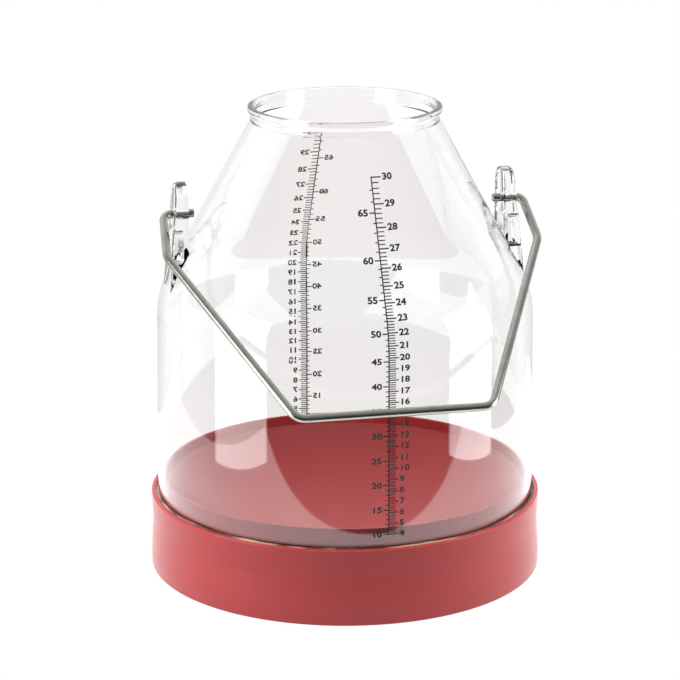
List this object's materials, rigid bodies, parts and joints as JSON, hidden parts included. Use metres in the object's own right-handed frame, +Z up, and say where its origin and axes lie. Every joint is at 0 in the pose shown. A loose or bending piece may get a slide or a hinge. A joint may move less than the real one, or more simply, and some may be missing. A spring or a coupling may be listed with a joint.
{
  "type": "milking bucket",
  "caption": "Clear milking bucket with a coned shoulder, an open collar mouth, two moulded ears, a swinging rod bail and a glued red base.",
  "frame": {"origin": "centre of the base's resting plane, on the bucket's axis", "axes": "+Z up along the bucket's axis, the ears on +X and -X, the front scale and the hanging bail towards -Y"},
  "size_m": [0.3748, 0.3957, 0.445],
  "materials": {
    "clear_plastic": "clear, glossy",
    "red_plastic": "satin outside, glossy inside",
    "stainless_rod": "drawn rod",
    "sealant": "translucent, smooth",
    "ink": "printed"
  },
  "bodies": {
    "bucket": {"vessel": "clear_plastic", "base": "red_plastic", "foot_sealant": "sealant", "front_scale": "ink", "rear_scale": "ink"},
    "bail": {"bail_handle": "stainless_rod"}
  },
  "joints": [
    {"name": "bail_swing", "type": "hinge", "parent": "bucket", "child": "bail", "pos_m": [0, 0, 0.3488], "axis": [-1, 0, 0], "range_deg": [0, 249.4]}
  ]
}
